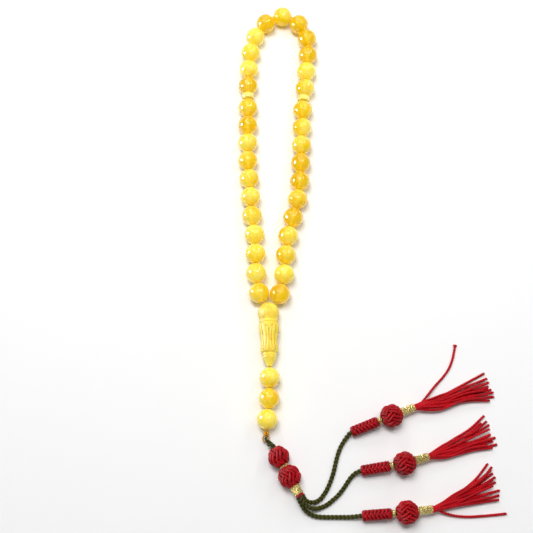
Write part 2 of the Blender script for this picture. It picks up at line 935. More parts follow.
def new_piece(
    name: str, points: list[Vector], faces: list[tuple], finish: bpy.types.Material
) -> bpy.types.Object:
    """A smooth mesh piece with its faces turned outwards.

    Args:
        name: The piece's name.
        points: Its points, in metres.
        faces: Its faces.
        finish: Its material.

    Returns:
        The piece.
    """
    mesh = bpy.data.meshes.new(name)
    mesh.from_pydata(points, [], faces)
    build = bmesh.new()
    build.from_mesh(mesh)
    bmesh.ops.remove_doubles(build, verts=build.verts, dist=1e-7)
    bmesh.ops.recalc_face_normals(build, faces=build.faces)
    build.to_mesh(mesh)
    build.free()
    mesh.shade_smooth()
    mesh.materials.append(finish)
    piece = bpy.data.objects.new(name, mesh)
    bpy.context.scene.collection.objects.link(piece)
    return piece


def turned(
    name: str, outline: list[tuple[float, float]], sides: int, stand: Matrix, finish: bpy.types.Material
) -> bpy.types.Object:
    """A piece turned on a lathe from a closed outline.

    Args:
        name: The piece's name.
        outline: Radius and height of each point of the outline, which closes on itself.
        sides: How many steps go round.
        stand: The lathe's frame, whose Z is the axis.
        finish: The piece's material.

    Returns:
        The piece.
    """
    count = len(outline)
    points = [
        stand @ Vector((r * math.cos(FULL_TURN * k / sides), r * math.sin(FULL_TURN * k / sides), h))
        for k in range(sides)
        for r, h in outline
    ]
    faces = [
        (k * count + n, k * count + (n + 1) % count,
         (k + 1) % sides * count + (n + 1) % count, (k + 1) % sides * count + n)
        for k in range(sides)
        for n in range(count)
    ]
    return new_piece(name, points, faces, finish)


def settle(piece: bpy.types.Object, body: str, slot: str, *nodes: str) -> None:
    """Puts a finished piece on its body, with its slot and the CAD nodes that it stands for.

    Args:
        piece: The piece.
        body: The body that it rides on.
        slot: The record's material slot.
        nodes: The CAD nodes that it stands for.
    """
    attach(piece, body)
    report(piece, slot, *nodes)


def report(piece: bpy.types.Object, slot: str, *nodes: str) -> None:
    """Gives a piece its slot and nodes, and logs it.

    Args:
        piece: The piece.
        slot: The record's material slot.
        nodes: The CAD nodes that it stands for.
    """
    if nodes:
        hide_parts(*nodes)
    log.info("%s: %d faces, slot %s", piece.name, len(piece.data.polygons), slot)


def ball_knot(
    stand: Matrix, reach: float, leads: int, bights: int, latitude: float, height: float, rise: float
) -> Line:
    """The line of one cord woven over and under itself round a ball.

    Args:
        stand: The ball's frame, whose Z passes through the knot's open ends.
        reach: The ball's radius over the cord.
        leads: How many times the cord goes round.
        bights: How many times it turns back at each end.
        latitude: How near the ends it comes, in degrees.
        height: The cord's thickness.
        rise: How far it climbs over the cord that it crosses.

    Returns:
        A closed line of points.
    """
    line = []
    count = 90 * leads
    for k in range(count):
        turn = FULL_TURN * leads * k / count
        weave = bights * turn / leads
        lift = math.radians(latitude) * math.cos(weave)
        radius = reach - height / 2 - rise + rise * math.sin((leads - 1) * weave)
        flat = radius * math.cos(lift)
        line.append(stand @ Vector((flat * math.cos(turn), flat * math.sin(turn), radius * math.sin(lift))))
    return line


@dataclass(frozen=True)
class BallCord:
    """The doubled red cord that the link's and tassels' balls are knotted from, in millimetres.

    Attributes:
        latitude: How near the ball's ends it comes, in degrees.
        rise: How far it climbs over itself.
        core_in: How far the dark core lies under the ball's outside.
    """

    width: float = 1.5
    height: float = 1.25
    spacing: float = 1.42
    latitude: float = 64
    rise: float = 0.42
    core_in: float = 1.3

    def knot(self, trees: Trees, name: str, stand: Matrix, diameter: float, leads: int) -> bpy.types.Object:
        """Makes one knotted ball.

        Args:
            trees: The geometry trees.
            name: The piece's name.
            stand: The ball's frame, whose Z passes through its open ends.
            diameter: Its diameter.
            leads: How many times the cord goes round.

        Returns:
            The ball.
        """
        reach, height = diameter / 2 * MM, self.height * MM
        line = ball_knot(stand, reach, leads, 7, self.latitude, height, self.rise * MM)
        return trees.ball.grow(
            name, [line], CRIMSON.material(), True, Centre=stand.translation, Width=self.width * MM,
            Height=height, Step=0.35 * MM, Sides=10, Core_radius=reach - self.core_in * MM, Reach=reach,
            Cords=2, Spacing=self.spacing * MM,
        )


# ---------------------------------------------------------------- studio


@dataclass(frozen=True)
class Lamp:
    """One square light that faces the beads.

    Attributes:
        name: Its name.
        place: Where it hangs, in metres.
        size: Its width, in metres.
        power: Its power, in watts.
    """

    name: str
    place: Vector
    size: float
    power: float

    def build(self) -> bpy.types.Object:
        """Hangs the light.

        Returns:
            The light.
        """
        data = bpy.data.lights.new(self.name, "AREA")
        data.size, data.energy = self.size, self.power
        lamp = bpy.data.objects.new(self.name, data)
        bpy.context.scene.collection.objects.link(lamp)
        lamp.location = self.place
        lamp.rotation_euler = (at(20, 30, 5) - self.place).to_track_quat("-Z", "Y").to_euler()
        return lamp


@dataclass
class Studio:
    """Camera, floor and lights.

    Attributes:
        eye: The camera's place, in millimetres.
        aim: What it looks at.
        lens: Its focal length on the sensor's width.
        floor_size: The floor's width, in metres.
        floor_drop: How far the floor lies under the beads, in millimetres.
        mottle: The floor's darkest share of its colour.
        sky: The strength of the light from all round.
        ring_way: Direction from the beads to the ring of small lights.
        ring_distance: How far away the ring is, in metres.
        ring_r: The ring's radius, in metres.
        ring_turns: Where each small light sits on the ring, in degrees.
    """

    eye: tuple[float, float, float] = (-0.986, -115.652, 408.245)
    aim: tuple[float, float, float] = (-0.986, 23.196, 5)
    lens: float = 57.41
    sensor: float = 36
    floor_size: float = 3.0
    floor_drop: float = 0.02
    floor_colour: Colour = (0.93, 0.93, 0.93)
    mottle: float = 0.985
    sky: float = 0.2
    ring_way: tuple[float, float, float] = (0.177, 0.568, 0.803)
    ring_distance: float = 0.62
    ring_r: float = 0.33
    ring_turns: tuple[int, ...] = (-30, 20, 65, 110, 155, 205)

    def build(self) -> None:
        """Makes all of it."""
        scene = bpy.context.scene
        data = bpy.data.cameras.new("camera")
        data.sensor_width, data.lens = self.sensor, self.lens
        data.clip_start, data.clip_end = 0.01, 20
        camera = bpy.data.objects.new("camera", data)
        scene.collection.objects.link(camera)
        camera.location = at(*self.eye)
        camera.rotation_euler = (at(*self.aim) - at(*self.eye)).to_track_quat("-Z", "Y").to_euler()
        scene.camera = camera
        scene.view_settings.view_transform = "Standard"
        self.floor()
        self.lights()

    def floor(self) -> None:
        """A plain pale table top, very faintly mottled."""
        half = self.floor_size / 2
        sides = ((-half, -half), (half, -half), (half, half), (-half, half))
        corners = [Vector((x, y, -self.floor_drop * MM)) for x, y in sides]
        s = Shader("pale floor")
        mottle = s.noise(s.place, 40, 3, 1)
        dull = tuple(c * self.mottle for c in self.floor_colour)
        s.set(Base_Color=s.mix(mottle, dull, self.floor_colour), Roughness=0.85, Specular_IOR_Level=0.2)
        new_piece("floor", corners, [(0, 1, 2, 3)], s.material)

    def lights(self) -> None:
        """One large soft light, a ring of small ones above and a small one low at the left."""
        world = bpy.data.worlds.new("studio")
        bpy.context.scene.world = world
        world.use_nodes = True
        sky = world.node_tree.nodes["Background"].inputs
        sky["Color"].default_value = (1.0, 1.0, 1.0, 1.0)
        sky["Strength"].default_value = self.sky
        Lamp("large soft light", Vector((-0.13, 0.22, 0.95)), 0.4, 4.9).build().visible_glossy = False
        middle = Vector(self.ring_way) * self.ring_distance
        across = Vector((1, 0, 0))
        up = middle.cross(across).normalized()
        for k, turn in enumerate(self.ring_turns):
            angle = math.radians(turn)
            shift = (across * math.cos(angle) + up * -math.sin(angle)) * self.ring_r
            Lamp(f"small light {k + 1}", middle + shift, 0.12, 0.44).build()
        Lamp("side light", Vector((-0.55, 0.1, 0.11)), 0.17, 6.0).build().visible_diffuse = False


# ---------------------------------------------------------------- green cords


@dataclass
class GreenCords:
    """Three twisted cords from the link's whipping to the tassels' sleeves, in millimetres.

    Attributes:
        lead: How far each runs straight out of the whipping.
        rest_z: Height of a cord's middle where it lies on the table.
        inside_sleeve: How far each goes into its sleeve.
        seats: Where each leaves the whipping, to the side and up.
        bend_share: Share of a cord's length over which a swing bends it.
    """

    diameter: float = 2.2
    cord: Lay = Lay(2, 0.62, 0.5, 3.7, 0.35, 10)
    lead: float = 0.6
    rest_z: float = 1.2
    inside_sleeve: float = 3.5
    seats: tuple = ((1.25, -0.7), (0.0, 1.35), (-1.25, -0.7))
    lengths: tuple = (48.9, 42.6, 37.4)
    bend_share: float = 0.7

    def routes(self) -> list[list[tuple[float, float, float]]]:
        """Where the cords run over the table.

        Returns:
            Each cord's points in millimetres, between its two ends.
        """
        z = self.rest_z
        return [
            [(16.7, -89.7, 4.3), (18.3, -90.8, 3.7), (20.4, -91, 2.9), (22.4, -90.4, 2.1), (24.1, -89.2, 1.5),
             (25.5, -87.5, 1.3), (27, -85.3, z), (28.4, -82.5, z), (29.6, -79.5, z), (30.6, -76.4, z),
             (31.4, -73.2, z), (32.3, -70, z), (33.4, -67, z), (34.8, -64.3, z), (36.3, -62, 1.5),
             (37.8, -60.1, 2.2)],
            [(15.6, -90.6, 6.6), (17.2, -92.5, 5.8), (19.4, -93.6, 4.3), (22, -93.7, 2.6), (24.6, -93, 1.4),
             (27.1, -91.8, z), (29.4, -90.1, z), (31.6, -88.3, z), (33.5, -86.3, z), (35.2, -84.1, z),
             (36.8, -81.8, 1.3), (38.5, -79.5, 1.7), (40.6, -77.7, 2.4)],
            [(14.3, -90.6, 4.6), (15.1, -92.1, 4.1), (16.1, -93.6, 3.2), (17.5, -95, 2.2), (19.3, -96.2, 1.5),
             (21.5, -97, z), (24, -97.3, z), (27, -97.4, z), (30, -97.4, z), (33, -97.4, z), (36, -97.4, 1.4),
             (38.3, -97.3, 1.9), (40.6, -97.1, 2.5)],
        ]

    def build(self, link: "Link", tassels: list["Tassel"], trees: Trees) -> None:
        """Makes, declares and dresses the cords.

        Args:
            link: What they leave.
            tassels: What they go into.
            trees: The geometry trees.
        """
        across = heading(link.heading + 90)
        for k, (points, tassel) in enumerate(zip(self.routes(), tassels)):
            side, up = self.seats[k]
            exit_point = link.on_axis(link.end + 0.05) + across * side * MM + UP * up * MM
            inner = tassel.start + tassel.front * self.inside_sleeve * MM
            lead = exit_point + heading(link.heading) * self.lead * MM
            line = smooth_line([exit_point, lead, *[at(*p) for p in points], tassel.start, inner], 0.5 * MM)
            piece = self.cord.grow(trees, f"green_twisted_cord_{k + 1}", [line], OLIVE)
            pivot, _ = joint_place(f"tassel_{k + 1}_swing")
            f"tassel_{k + 1}"
            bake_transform(piece)
            report(piece, "green_cord", f"green_cord_{k + 1}")


# ---------------------------------------------------------------- beads


def drilled_outline(radius: float, bore: float, mouth: float) -> list[tuple[float, float]]:
    """The outline of half a drilled ball, with both mouths countersunk.

    Args:
        radius: The ball's radius.
        bore: The hole's radius.
        mouth: The countersink's radius at the surface.

    Returns:
        Radius and height of each point.
    """
    edge = math.asin(mouth / radius)
    steps = 34
    angles = [edge + (math.pi - 2 * edge) * k / steps for k in range(steps + 1)]
    arc = [(radius * math.sin(a), radius * math.cos(a)) for a in angles]
    top = arc[0][1]
    rounded = ((mouth + bore) / 2 + 0.06 * MM, top - 0.12 * MM)
    inner = [(bore, top - 0.45 * MM), (bore, top * 0.5), (bore, -top * 0.5), (bore, 0.45 * MM - top)]
    return [*arc, (rounded[0], -rounded[1]), *reversed(inner), rounded]


@dataclass
class DrilledBeads:
    """Balls with a countersunk hole, each turning on its thread, in millimetres.

    Attributes:
        diameter: Each ball's diameter.
        names: What their bodies and nodes are called.
        looks: Each one's amber, and the heading of its milky side.
        seed: Chooses the first one's clouds.
        seed_step: How far on the next one's clouds are.
        bore: The hole's diameter.
        mouth: The countersink's diameter.
        sides: How many steps go round a ball.
    """

    diameter: float
    names: tuple
    looks: tuple
    seed: float
    seed_step: float
    bore: float = 1.0
    mouth: float = 1.7
    sides: int = 56

    def build(self) -> None:
        """Makes and dresses every bead."""
        radius = self.diameter / 2 * MM
        outline = drilled_outline(radius, self.bore / 2 * MM, self.mouth / 2 * MM)
        for k, (name, (look, side)) in enumerate(zip(self.names, self.looks)):
            centre, axis = joint_place(f"turn_{name}")
            amber = Amber(look, side, self.seed + self.seed_step * k)
            finish = amber.material(f"amber {name}", centre, radius, axis)
            piece = turned(f"amber_{name}", outline, self.sides, standing(centre, axis), finish)
            settle(piece, name, "amber", name)


@dataclass
class CountingBeads(DrilledBeads):
    """The 33 beads of the loop, from the lowest left one over the top to the lowest right one."""

    diameter: float = 10.2
    names: tuple = LOOP_BEADS
    looks: tuple = (
        (Look.GOLDEN, 180), (Look.MILKY, 270), (Look.MILKY, 90), (Look.MILKY, 90), (Look.HALF, 270),
        (Look.MILKY, 150), (Look.HALF, 180), (Look.GOLDEN, 120), (Look.MILKY, 135), (Look.CLEAR, 60),
        (Look.GOLDEN, 180), (Look.CLEAR, 300), (Look.PALE, 120), (Look.MILKY, 90), (Look.PALE, 100),
        (Look.CLEAR, 200), (Look.HALF, 90), (Look.CLEAR, 30), (Look.CLEAR, 0), (Look.CLEAR, 180),
        (Look.PALE, 90), (Look.HALF, 0), (Look.GOLDEN, 60), (Look.HALF, 0), (Look.HALF, 150),
        (Look.CLEAR, 90), (Look.CLEAR, 0), (Look.GOLDEN, 135), (Look.CLEAR, 200), (Look.HALF, 315),
        (Look.GOLDEN, 45), (Look.MILKY, 100), (Look.CLEAR, 90),
    )
    seed: float = 0
    seed_step: float = 3.7


@dataclass
class TailBeads(DrilledBeads):
    """The three beads under the head bead."""

    diameter: float = 9.8
    names: tuple = TAIL_BEADS
    looks: tuple = ((Look.MILKY, 100), (Look.GOLDEN, 180), (Look.PALE, 160))
    seed: float = 150
    seed_step: float = 5.3


@dataclass
class Dividers:
    """Two milky discs with rounded rims."""

    diameter: float = 6.6
    thickness: float = 2.8
    bore: float = 1.3
    sides: int = 56

    def build(self) -> None:
        """Makes and dresses both discs."""
        r, half, hole = self.diameter / 2 * MM, self.thickness / 2 * MM, self.bore / 2 * MM
        soft = 0.35 * MM
        angles = [math.radians(a) for a in range(-24, 25, 4)]
        rim = [(r * math.cos(a), r * math.sin(a)) for a in angles]
        flat = rim[-1][0]
        shoulder = [
            (flat - soft * 0.1, half - soft * 0.12), (flat - soft * 0.5, half), (flat - soft * 1.6, half),
        ]
        face = [(hole + 0.35 * MM, half), (hole + 0.1 * MM, half - 0.1 * MM), (hole, half - 0.35 * MM)]
        upper = [*shoulder, *face]
        lower = [(x, -y) for x, y in reversed(upper)]
        for side in ("left", "right"):
            name = f"divider_{side}"
            centre, axis = joint_place(f"turn_{name}")
            stand = standing(centre, axis)
            finish = DiscAmber().material(f"disc amber {side}", centre, r)
            piece = turned(f"amber_{name}", [*rim, *upper, *lower], self.sides, stand, finish)
            settle(piece, name, "disc_amber", name)


# ---------------------------------------------------------------- head bead


@dataclass
class HeadBead:
    """The carved head bead: fluted dome, leaf-cut body, small ring and cup.

    Attributes:
        lean: Heading that its tip points to.
        reach: Distance from the dome's centre to the tip's end.
        dome_drop: How much lower the dome lies than the plain profile.
        rim_drop: How much lower the body's rim lies.
        deepest: The deepest cut, which is the darkest.
        row: Distance between two rows of points.
        cracks: Start and end of each natural crack, as distance and angle, and its depth.
        profile: Distance below the dome's centre, and the plain radius there.
    """

    lean: float = 271
    reach: float = 28.1
    dome_r: float = 5.2
    tip_r: float = 1.4
    bore_r: float = 0.85
    dome_bore_r: float = 0.95
    dome_drop: float = 1.0
    rim_drop: float = 1.5
    deepest: float = 0.36
    sides: int = 160
    row: float = 0.17
    cracks: tuple = (
        ((2.2, 0.95), (3.9, 0.42), 0.22), ((10.3, 0.98), (12.1, 0.55), 0.16),
        ((16.9, -0.82), (18.4, -0.6), 0.12),
    )
    profile: tuple = (
        (0.0, 5.2), (1.0, 5.13), (2.0, 4.9), (3.0, 4.5), (3.7, 4.15), (3.95, 4.2), (4.1, 4.42), (4.35, 4.6),
        (4.6, 4.65), (4.85, 4.6), (5.1, 4.42), (5.3, 4.3), (5.5, 4.5), (5.9, 4.8), (6.7, 5.0), (7.8, 5.05),
        (9.2, 4.85), (10.8, 4.45), (12.5, 4.2), (14.5, 4.1), (16.5, 4.2), (18.0, 4.45), (18.8, 4.4),
        (19.4, 4.05), (19.85, 3.3), (20.05, 3.32), (20.3, 3.52), (20.7, 3.6), (21.1, 3.52), (21.45, 3.3),
        (21.7, 3.42), (22.4, 3.38), (23.4, 3.06), (24.4, 2.6), (25.4, 2.1), (26.2, 1.7), (26.7, 1.42),
    )

    def radius_at(self, s: float) -> float:
        """The plain radius at a distance below the dome's centre.

        Args:
            s: The distance in millimetres, negative towards the top.

        Returns:
            The radius in millimetres.
        """
        if s <= 0:
            return math.sqrt(max(self.dome_r**2 - s * s, 0))
        last = self.reach - self.tip_r
        if s >= last:
            return math.sqrt(max(self.tip_r**2 - (s - last) ** 2, 0))
        for (s0, r0), (s1, r1) in zip(self.profile, self.profile[1:]):
            if s <= s1:
                return r0 + (r1 - r0) * (s - s0) / (s1 - s0)
        return self.tip_r

    def lowered(self, s: float) -> float:
        """Where a row of the carving lies: the dome and body sit a little low, and the tip is drawn in.

        Args:
            s: Distance below the dome's centre, in millimetres.

        Returns:
            The lowered distance.
        """
        waist, rim = 4.0, 21.0
        if s <= waist:
            return s + self.dome_drop
        if s <= rim:
            return s + self.dome_drop + (self.rim_drop - self.dome_drop) * (s - waist) / (rim - waist)
        return s + self.rim_drop * (self.reach - s) / (self.reach - rim)

    def cut_at(self, s: float, turn: float) -> tuple[float, float]:
        """How deep the carving is, and how dark a natural crack is.

        Args:
            s: Distance below the dome's centre, in millimetres.
            turn: Angle round the axis, 0 at the top as it lies.

        Returns:
            The depth in millimetres, and the crack from 0 to 1.
        """

        def groove(off: float, width: float) -> float:
            """A rounded cut: 1 in its middle."""
            return math.exp(-((off / width) ** 2))

        def span(low: float, high: float, soft: float) -> float:
            """1 between two distances, softly 0 outside."""
            return 1 / (1 + math.exp(-(s - low) / soft * 4)) / (1 + math.exp((s - high) / soft * 4))

        radius = self.radius_at(s)
        panel = FULL_TURN / 4
        local = (turn + panel / 2) % panel - panel / 2
        x = local * radius
        cuts = []
        if s < 4:
            flute = (turn + FULL_TURN / 36) % (FULL_TURN / 18) - FULL_TURN / 36
            cuts = [(0.13, flute * radius, 0.16, -4.2, 3.4, 0.9)]
        if 5.5 < s < 20:
            waist = math.sin(math.pi * min(max((s - 6) / 13, 0), 1))
            leaf = 1.05 - 0.2 * math.sin((s - 9) * 0.5)
            edge = local * radius * 2 - panel * radius * math.copysign(1, local)
            cuts = [
                (0.34, x, 0.2, 9.0, 18.2, 0.6),
                (0.3, abs(x) - 0.62 * max(9.4 - s, 0), 0.17, 6.3, 9.3, 0.4),
                (0.28, abs(x) - (2.05 - 0.75 * waist), 0.2, 6.6, 17.6, 0.7),
                (0.2, abs(x) - leaf, 0.15, 11.4, 17.9, 0.7),
                (self.deepest, edge, 0.5, 6.2, 18.6, 0.5),
            ]
        if s > 21.6:
            cuts = [(0.12, x, 0.16, 22.4, 25.2, 0.5), (0.1, abs(x) - 1.2, 0.2, 22.2, 24.6, 0.5)]
        depth = 0.0
        for deep, off, width, low, high, soft in cuts:
            depth += deep * groove(off, width) * span(low, high, soft)
        if 5.5 < s < 20:
            scallop = 18.35 + 0.55 * math.cos(local * 8)
            depth += 0.26 * groove(s - scallop, 0.22)
            depth += 0.3 * groove(math.hypot(x + 0.75, s - 14.0), 0.3)
            depth += 0.22 * groove(math.hypot(x, s - 7.4), 0.34)
        marks = [(self.crack(s, turn, start, end), deep) for start, end, deep in self.cracks]
        dark = max(mark for mark, _ in marks)
        return depth + sum(mark * deep for mark, deep in marks), dark

    def crack(self, s: float, turn: float, start: tuple[float, float], end: tuple[float, float]) -> float:
        """How near a point is to a short crack.

        Args:
            s: Distance below the dome's centre.
            turn: Angle round the axis.
            start: Distance and angle of the crack's start.
            end: Distance and angle of its end.

        Returns:
            1 on the crack and 0 away from it.
        """
        radius = self.radius_at(s)
        turn = (turn + math.pi) % FULL_TURN - math.pi
        here = Vector((s, turn * radius))
        a, b = Vector((start[0], start[1] * radius)), Vector((end[0], end[1] * radius))
        share = min(max((here - a).dot(b - a) / (b - a).length_squared, 0), 1)
        off = (here - a - (b - a) * share).length + 0.08 * math.sin(7 * s)
        return math.exp(-((off / 0.13) ** 2)) * math.sin(math.pi * min(max(share, 0.12), 0.88))

    def build(self) -> None:
        """Makes the skin, drills it and dresses it."""
        centre, _ = joint_place("loop_swing")
        stand = standing(centre, heading(self.lean))
        top, last = -self.dome_r, self.reach - self.tip_r
        end = last + math.sqrt(self.tip_r**2 - 0.3**2)
        rows = [-self.dome_r * math.cos(math.radians(a)) for a in range(3, 90, 2)]
        rows += [k * self.row for k in range(round(last / self.row))]
        rows += [last + self.tip_r * math.sin(math.radians(a)) for a in range(0, 76, 6)]
        points, cuts, marks = [stand @ at(0, 0, self.lowered(top))], [0.0], [0.0]
        for s in rows:
            for k in range(self.sides):
                turn = FULL_TURN * k / self.sides
                deep, mark = self.cut_at(s, turn)
                r = self.radius_at(s) - deep
                points.append(stand @ at(r * math.cos(turn), r * math.sin(turn), self.lowered(s)))
                cuts.append(min(deep / self.deepest, 1))
                marks.append(min(mark, 1))
        points.append(stand @ at(0, 0, self.lowered(end)))
        cuts.append(0.0)
        marks.append(0.0)
        n = self.sides
        faces = [(0, 1 + k, 1 + (k + 1) % n) for k in range(n)]
        for row in range(len(rows) - 1):
            a, b = 1 + row * n, 1 + (row + 1) * n
            faces += [(a + k, b + k, b + (k + 1) % n, a + (k + 1) % n) for k in range(n)]
        base = 1 + (len(rows) - 1) * n
        faces += [(base + k, len(points) - 1, base + (k + 1) % n) for k in range(n)]
        finish = CarvedAmber().material("carved amber", centre, 5 * MM)
        piece = new_piece("carved_head_bead", points, faces, finish)
        for name, values in (("cut", cuts), ("mark", marks)):
            piece.data.attributes.new(name, "FLOAT", "POINT").data.foreach_set("value", values)
        self.drill(piece, centre)
        settle(piece, "head", "carved_amber", "imam")

    def drill(self, piece: bpy.types.Object, centre: Vector) -> None:
        """Cuts the long hole and the two slanting ones.

        Args:
            piece: The solid head bead.
            centre: The dome's centre.
        """
        first, out_of_first = joint_place("turn_bead_01")
        final, out_of_final = joint_place("turn_bead_33")
        mouths = (first - out_of_first * BEAD_MOUTH * MM, final + out_of_final * BEAD_MOUTH * MM)
        ways = [(heading(self.lean), self.bore_r, self.reach + 2)]
        ways += [(mouth - centre, self.dome_bore_r, self.dome_r + 2) for mouth in mouths]
        cutters = []
        for k, (way, r, length) in enumerate(ways):
            outline = [(0, 0), (r * MM, 0), (r * MM, length * MM), (0, length * MM)]
            start = centre + way.normalized() * 0.15 * k * MM
            cutter = turned(f"cutter {k}", outline, 32, standing(start, way), piece.data.materials[0])
            modifier = piece.modifiers.new(f"hole {k}", "BOOLEAN")
            modifier.operation, modifier.solver, modifier.object = "DIFFERENCE", "EXACT", cutter
            cutters.append(cutter)
        depsgraph = bpy.context.evaluated_depsgraph_get()
        drilled = bpy.data.meshes.new_from_object(
            piece.evaluated_get(depsgraph), preserve_all_data_layers=True, depsgraph=depsgraph
        )
        piece.modifiers.clear()
        piece.data = drilled
        for cutter in cutters:
            bpy.data.objects.remove(cutter)


# ---------------------------------------------------------------- threads, knot and link


@dataclass
class Threads:
    """The yellow thread through the loop, through the head bead and through the tail."""

    cord: Lay = Lay(3, 0.2, 0.19, 1.7)
    tail_mouth: float = 4.95
    leg_start: float = 1.0

    def build(self, trees: Trees, head: HeadBead, knot: "EndKnot") -> None:
        """Makes and dresses all three runs.

        Args:
            trees: The geometry trees.
            head: The head bead, for its long hole.
            knot: The end knot, where the tail's thread ends.
        """
        dome, _ = joint_place("loop_swing")
        mouths = self.mouths(LOOP_BEADS, BEAD_MOUTH)
        starts = [dome + (p - dome).normalized() * self.leg_start * MM for p in (mouths[0], mouths[-1])]
        axis = heading(head.lean)
        inner = [dome + axis * s * MM for s in (1.3, head.reach - head.tip_r - 0.4)]
        tip, _ = joint_place("tail_swing")
        beads = self.mouths(TAIL_BEADS, self.tail_mouth)
        route = [tip + (beads[0] - tip).normalized() * 0.1 * MM, *beads, knot.centre]
        runs = (
            ("loop_thread_yarn", [starts[0], *mouths, starts[1]], "loop", "loop_thread"),
            ("head_thread_yarn", inner, "head", "imam_thread"),
            ("tail_thread_yarn", route, "tail", "tail_thread"),
        )
        for name, line, body, node in runs:
            settle(self.cord.grow(trees, name, [line], YELLOW), body, "thread", node)

    def mouths(self, names: tuple[str, ...], reach: float) -> Line:
        """Where the thread enters and leaves each bead.

        Args:
            names: The beads, in order.
            reach: Distance from a bead's centre to its mouth, in millimetres.

        Returns:
            Two points for each bead.
        """
        line = []
        for name in names:
            centre, axis = joint_place(f"turn_{name}")
            line += [centre - axis * reach * MM, centre + axis * reach * MM]
        return line


@dataclass
class EndKnot:
    """The thread's knot under the last tail bead, and the eye that it ends in, in millimetres.

    Attributes:
        from_pivot: The knot's place in plan, counted from the link's pivot.
        eye_from_pivot: How far up the frame the eye's middle is from the pivot.
        eye_r: The eye's radius.
        cord: The knot's cord: its width, its height and how far it climbs over itself.
    """

    diameter: float = 2.9
    from_pivot: tuple[float, float] = (0.174, 2.494)
    eye_from_pivot: float = 0.2
    eye_r: float = 1.45
    cord: tuple[float, float, float] = (1.15, 0.75, 0.18)
    eye_cord: Lay = Lay(2, 0.2, 0.16, 1.3, 0.14, 8)

    def __post_init__(self) -> None:
        """Finds the knot between the last tail bead and the eye."""
        self.pivot, _ = joint_place("link_swing")
        across, up = self.from_pivot
        middle_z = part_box("gold_knot")[1].z - self.diameter / 2 * MM
        self.centre = Vector((self.pivot.x + across * MM, self.pivot.y + up * MM, middle_z))

    def build(self, trees: Trees) -> None:
        """Makes and dresses the knot and its eye.

        Args:
            trees: The geometry trees.
        """
        reach = self.diameter / 2 * MM
        width, height, rise = (size * MM for size in self.cord)
        line = ball_knot(standing(self.centre, heading(272, 20)), reach, 3, 4, 62, height, rise)
        knot = trees.ball.grow(
            "gold_end_knot", [line], ORANGE.material(), True, Centre=self.centre, Width=width,
            Height=height, Step=0.15 * MM, Sides=10, Core_radius=0.75 * MM, Reach=reach, Cords=1,
        )
        settle(knot, "tail", "gold_cord", "gold_knot")
        middle = self.pivot + Vector((0, self.eye_from_pivot * MM, 0))
        turns = [FULL_TURN * k / 64 for k in range(64)]
        ring = [middle + Vector((math.cos(a), math.sin(a), 0)) * self.eye_r * MM for a in turns]
        settle(self.eye_cord.grow(trees, "gold_eye", [ring], ORANGE, True), "tail", "gold_cord")


